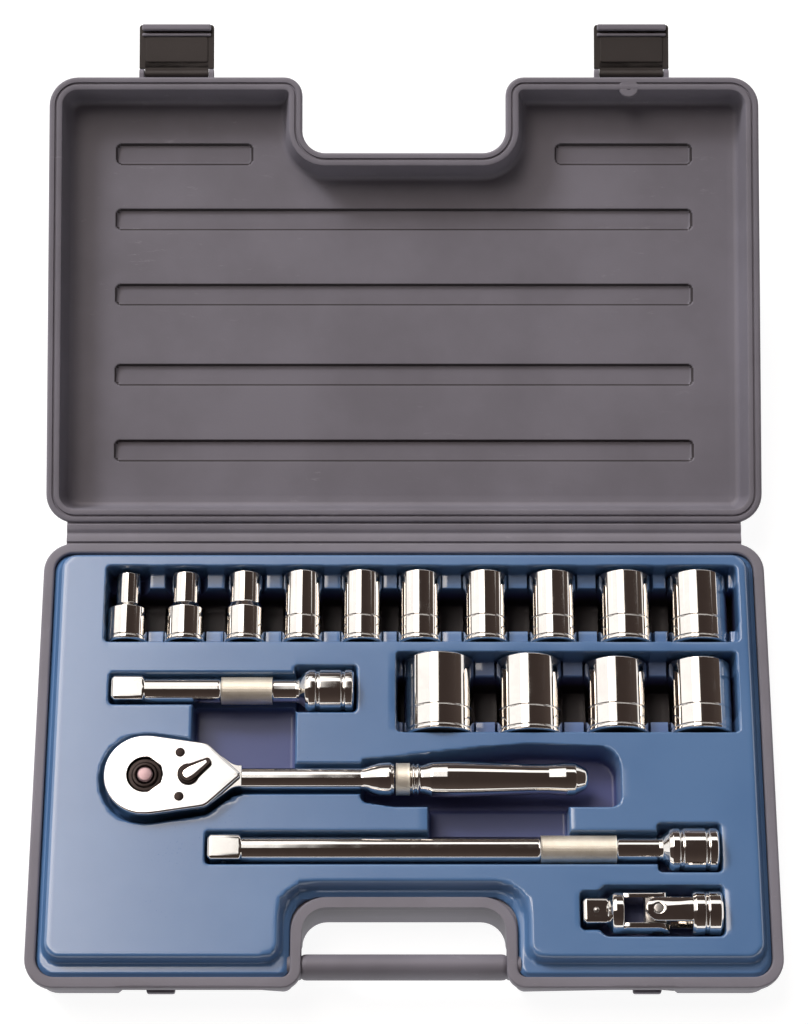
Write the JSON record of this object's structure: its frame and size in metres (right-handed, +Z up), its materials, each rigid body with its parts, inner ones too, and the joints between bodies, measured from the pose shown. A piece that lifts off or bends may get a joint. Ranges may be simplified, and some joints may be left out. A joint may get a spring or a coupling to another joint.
{
  "type": "socket wrench set in case",
  "caption": "Half-inch-drive socket set: hinged plastic case with carrying handle and latches, formed tray, sockets, reversible ratchet, two extensions and a universal joint.",
  "frame": {"origin": "centre of the base underside, on the surface the case stands on", "axes": "+X along the case to the right seen from the handle, +Y from the handle towards the hinge and the opened lid, +Z up"},
  "size_m": [0.37, 0.4935, 0.1149],
  "materials": {
    "case": "moulded, fine satin texture",
    "latch": "moulded, satin",
    "tray": "vacuum-formed sheet, soft sheen",
    "chrome": "bright chrome plate, satin on knurled bands",
    "polished": "polished plate",
    "steel": "ground steel",
    "button": "satin cap"
  },
  "bodies": {
    "case": {"base_shell": "case", "tray": "tray"},
    "lid": {"lid_shell": "case"},
    "latch_left": {"latch_left": "latch"},
    "latch_right": {"latch_right": "latch"},
    "socket_08mm": {"socket_08mm": "chrome"},
    "socket_10mm": {"socket_10mm": "chrome"},
    "socket_12mm": {"socket_12mm": "chrome"},
    "socket_13mm": {"socket_13mm": "chrome"},
    "socket_14mm": {"socket_14mm": "chrome"},
    "socket_15mm": {"socket_15mm": "chrome"},
    "socket_16mm": {"socket_16mm": "chrome"},
    "socket_17mm": {"socket_17mm": "chrome"},
    "socket_19mm": {"socket_19mm": "chrome"},
    "socket_21mm": {"socket_21mm": "chrome"},
    "socket_27mm": {"socket_27mm": "chrome"},
    "socket_24mm": {"socket_24mm": "chrome"},
    "socket_23mm": {"socket_23mm": "chrome"},
    "socket_22mm": {"socket_22mm": "chrome"},
    "extension_short": {"extension_short_bar": "chrome"},
    "extension_short_ball": {"extension_short_detent_ball": "steel"},
    "extension_long": {"extension_long_bar": "chrome"},
    "extension_long_ball": {"extension_long_detent_ball": "steel"},
    "universal_joint": {"universal_joint_socket_yoke": "chrome", "universal_joint_cross": "steel", "universal_joint_long_pin": "steel", "universal_joint_upper_pin": "steel", "universal_joint_lower_pin": "steel"},
    "universal_joint_yoke": {"universal_joint_square_yoke": "chrome"},
    "universal_joint_ball": {"universal_joint_detent_ball": "steel"},
    "ratchet": {"ratchet_body": "chrome", "ratchet_cover_plate": "polished", "ratchet_cover_screw_back": "steel", "ratchet_cover_screw_front": "steel", "ratchet_grip": "chrome"},
    "ratchet_drive": {"ratchet_drive_gear": "steel"},
    "ratchet_lever": {"ratchet_reversing_lever": "steel", "ratchet_pawl": "steel"},
    "ratchet_button": {"ratchet_release_button": "button"},
    "ratchet_ball": {"ratchet_detent_ball": "steel"}
  },
  "joints": [
    {"name": "lid_hinge", "type": "hinge", "parent": "case", "child": "lid", "pos_m": [0, 0.122, 0.03], "axis": [-1, 0, 0], "range_deg": [-161, 19]},
    {"name": "latch_left_hinge", "type": "hinge", "parent": "lid", "child": "latch_left", "pos_m": [-0.119, 0.35192, 0.10282], "axis": [-1, 0, 0], "range_deg": [-90, 60]},
    {"name": "latch_right_hinge", "type": "hinge", "parent": "lid", "child": "latch_right", "pos_m": [0.119, 0.35192, 0.10282], "axis": [-1, 0, 0], "range_deg": [-90, 60]},
    {"name": "socket_08mm_lift", "type": "slide", "parent": "case", "child": "socket_08mm", "axis": [0, 0, 1], "range_m": [0, 0.06]},
    {"name": "socket_10mm_lift", "type": "slide", "parent": "case", "child": "socket_10mm", "axis": [0, 0, 1], "range_m": [0, 0.06]},
    {"name": "socket_12mm_lift", "type": "slide", "parent": "case", "child": "socket_12mm", "axis": [0, 0, 1], "range_m": [0, 0.06]},
    {"name": "socket_13mm_lift", "type": "slide", "parent": "case", "child": "socket_13mm", "axis": [0, 0, 1], "range_m": [0, 0.06]},
    {"name": "socket_14mm_lift", "type": "slide", "parent": "case", "child": "socket_14mm", "axis": [0, 0, 1], "range_m": [0, 0.06]},
    {"name": "socket_15mm_lift", "type": "slide", "parent": "case", "child": "socket_15mm", "axis": [0, 0, 1], "range_m": [0, 0.06]},
    {"name": "socket_16mm_lift", "type": "slide", "parent": "case", "child": "socket_16mm", "axis": [0, 0, 1], "range_m": [0, 0.06]},
    {"name": "socket_17mm_lift", "type": "slide", "parent": "case", "child": "socket_17mm", "axis": [0, 0, 1], "range_m": [0, 0.06]},
    {"name": "socket_19mm_lift", "type": "slide", "parent": "case", "child": "socket_19mm", "axis": [0, 0, 1], "range_m": [0, 0.06]},
    {"name": "socket_21mm_lift", "type": "slide", "parent": "case", "child": "socket_21mm", "axis": [0, 0, 1], "range_m": [0, 0.06]},
    {"name": "socket_27mm_lift", "type": "slide", "parent": "case", "child": "socket_27mm", "axis": [0, 0, 1], "range_m": [0, 0.06]},
    {"name": "socket_24mm_lift", "type": "slide", "parent": "case", "child": "socket_24mm", "axis": [0, 0, 1], "range_m": [0, 0.06]},
    {"name": "socket_23mm_lift", "type": "slide", "parent": "case", "child": "socket_23mm", "axis": [0, 0, 1], "range_m": [0, 0.06]},
    {"name": "socket_22mm_lift", "type": "slide", "parent": "case", "child": "socket_22mm", "axis": [0, 0, 1], "range_m": [0, 0.06]},
    {"name": "extension_short_lift", "type": "slide", "parent": "case", "child": "extension_short", "axis": [0, 0, 1], "range_m": [0, 0.06]},
    {"name": "extension_short_ball_slide", "type": "slide", "parent": "extension_short", "child": "extension_short_ball", "axis": [0, -1, 0], "range_m": [-0.001, 0], "stiffness_N_per_m": 300, "springref_m": 0.002},
    {"name": "extension_long_lift", "type": "slide", "parent": "case", "child": "extension_long", "axis": [0, 0, 1], "range_m": [0, 0.06]},
    {"name": "extension_long_ball_slide", "type": "slide", "parent": "extension_long", "child": "extension_long_ball", "axis": [0, -1, 0], "range_m": [-0.001, 0], "stiffness_N_per_m": 300, "springref_m": 0.002},
    {"name": "universal_joint_lift", "type": "slide", "parent": "case", "child": "universal_joint", "axis": [0, 0, 1], "range_m": [0, 0.06]},
    {"name": "universal_joint_bend", "type": "hinge", "parent": "universal_joint", "child": "universal_joint_yoke", "pos_m": [0.1238, -0.0796, 0.0305], "axis": [0, 1, 0], "range_deg": [0, 45]},
    {"name": "universal_joint_ball_slide", "type": "slide", "parent": "universal_joint_yoke", "child": "universal_joint_ball", "axis": [0, 0, 1], "range_m": [-0.001, 0], "stiffness_N_per_m": 300, "springref_m": 0.002},
    {"name": "ratchet_lift", "type": "slide", "parent": "case", "child": "ratchet", "axis": [0, 0, 1], "range_m": [0, 0.06]},
    {"name": "ratchet_drive_turn", "type": "hinge", "parent": "ratchet", "child": "ratchet_drive", "pos_m": [-0.1282, -0.0122, 0.03], "axis": [0, 0, 1], "continuous": true},
    {"name": "ratchet_lever_turn", "type": "hinge", "parent": "ratchet", "child": "ratchet_lever", "pos_m": [-0.1067, -0.0122, 0.04], "axis": [0, 0, 1], "range_deg": [-66, 0]},
    {"name": "ratchet_button_press", "type": "slide", "parent": "ratchet_drive", "child": "ratchet_button", "axis": [0, 0, 1], "range_m": [-0.002, 0], "stiffness_N_per_m": 400, "springref_m": 0.002},
    {"name": "ratchet_ball_slide", "type": "slide", "parent": "ratchet_drive", "child": "ratchet_ball", "axis": [0, -1, 0], "range_m": [-0.001, 0]}
  ],
  "couplings": [
    {"joint": "ratchet_ball_slide", "follows": "ratchet_button_press", "ratio": 0.5}
  ]
}
